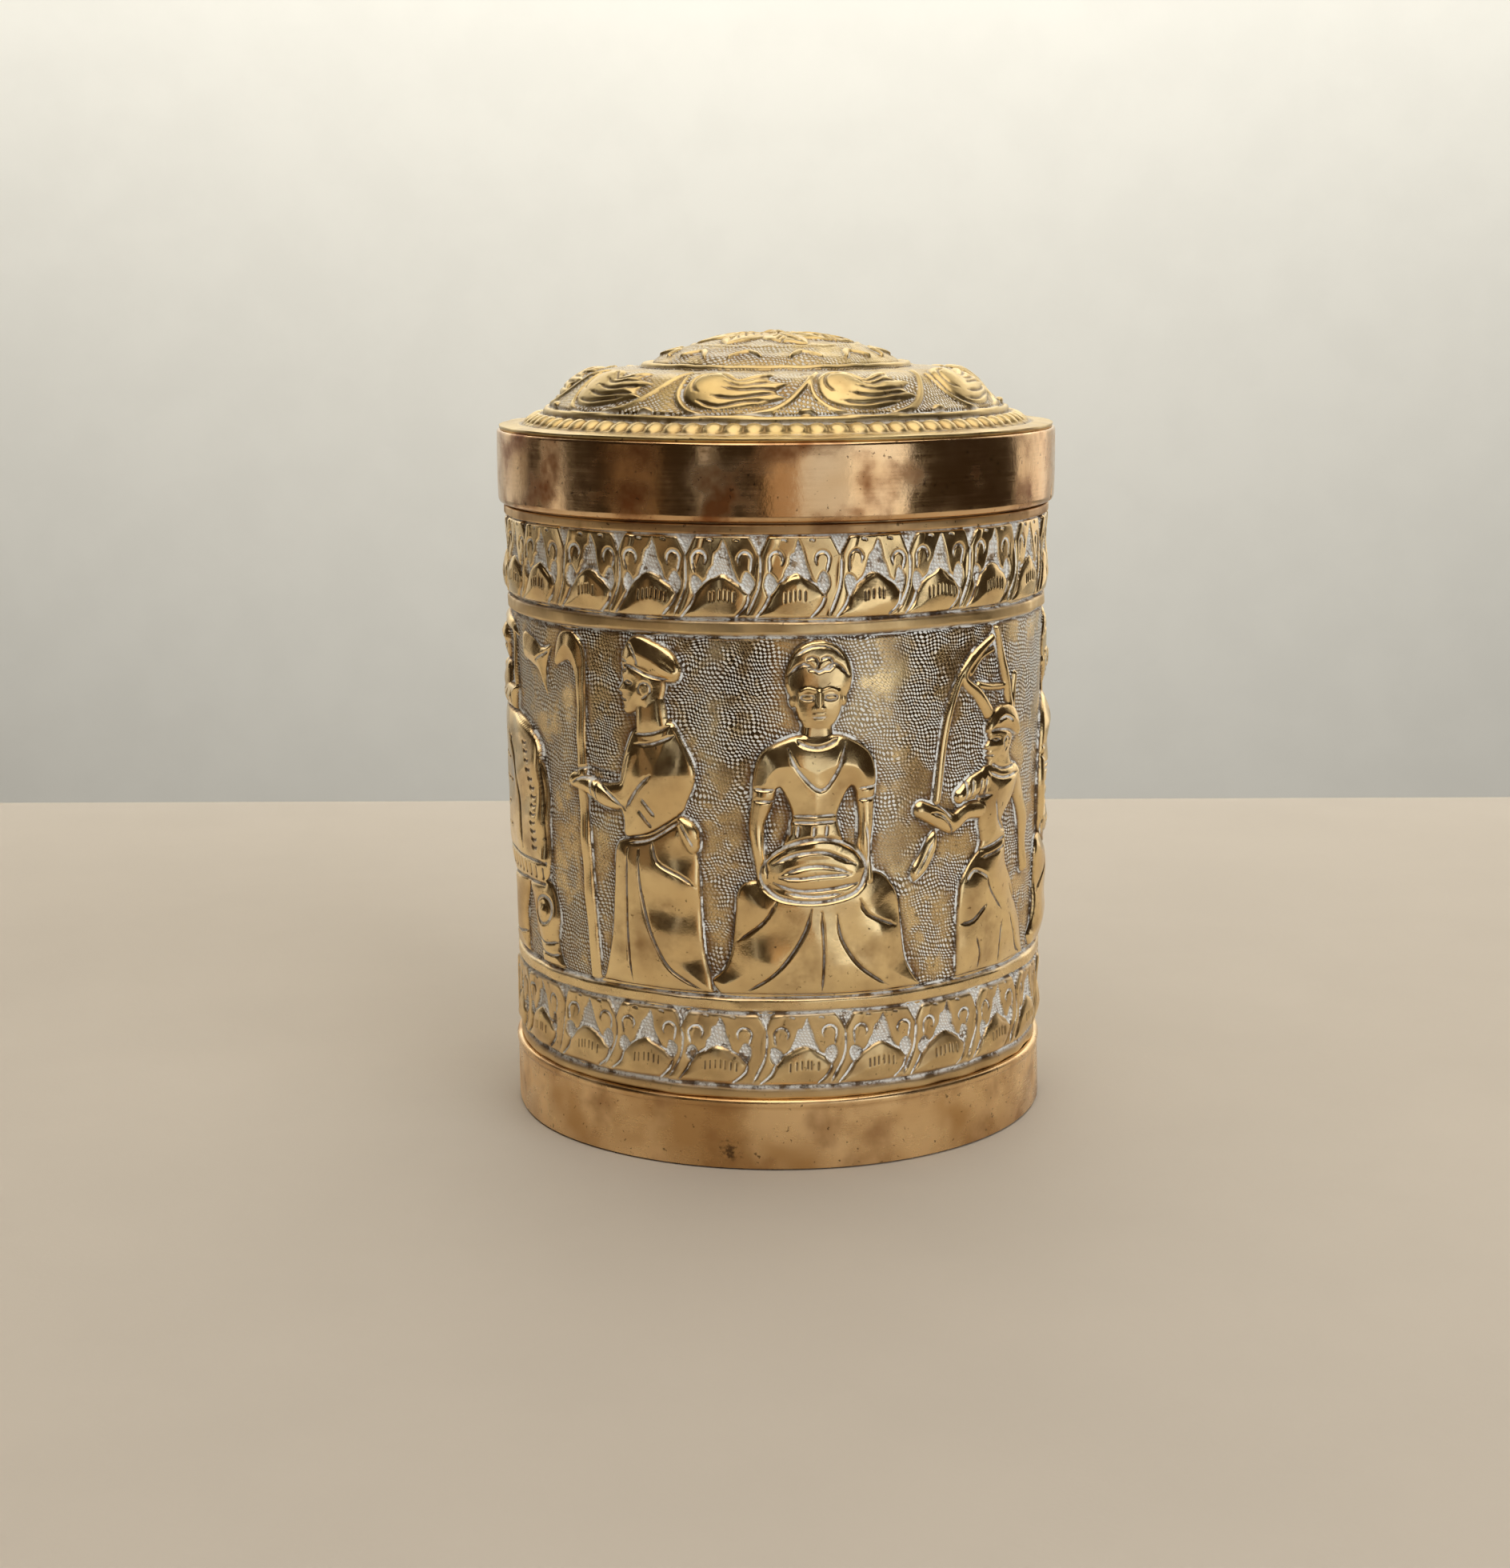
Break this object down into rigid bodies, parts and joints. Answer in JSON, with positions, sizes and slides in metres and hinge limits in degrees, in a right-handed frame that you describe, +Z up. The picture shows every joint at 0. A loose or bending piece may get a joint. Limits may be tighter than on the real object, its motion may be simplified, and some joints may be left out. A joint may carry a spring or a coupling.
{
  "type": "lidded canister",
  "caption": "Round embossed brass canister: thin sheet wall with relief frieze, plain base ring, inner neck and slip-on lid with a polished band and low domed top.",
  "frame": {"origin": "centre of the bottom of the base ring, on the surface it stands on", "axes": "+Z up along the canister's axis, -Y towards the viewer of the middle figure, +X to that viewer's right"},
  "size_m": [0.09, 0.09, 0.1263],
  "materials": {
    "ring_brass": "satin, lightly tarnished",
    "plate_brass": "dull, tarnished",
    "wall_brass": "embossed, bright on the high relief, pale polish residue in the matted ground",
    "collar_brass": "satin, tarnished",
    "lid_band_brass": "polished, fine scratches and small pits",
    "lid_dome_brass": "embossed, satin, grey residue in the recesses"
  },
  "bodies": {
    "canister": {"base_ring": "ring_brass", "base_plate": "plate_brass", "wall": "wall_brass", "neck_collar": "collar_brass"},
    "lid": {"lid_band": "lid_band_brass", "lid_dome": "lid_dome_brass"}
  },
  "joints": [
    {"name": "lid_lift", "type": "slide", "parent": "canister", "child": "lid", "axis": [0, 0, 1], "range_m": [0, 0.1]}
  ]
}
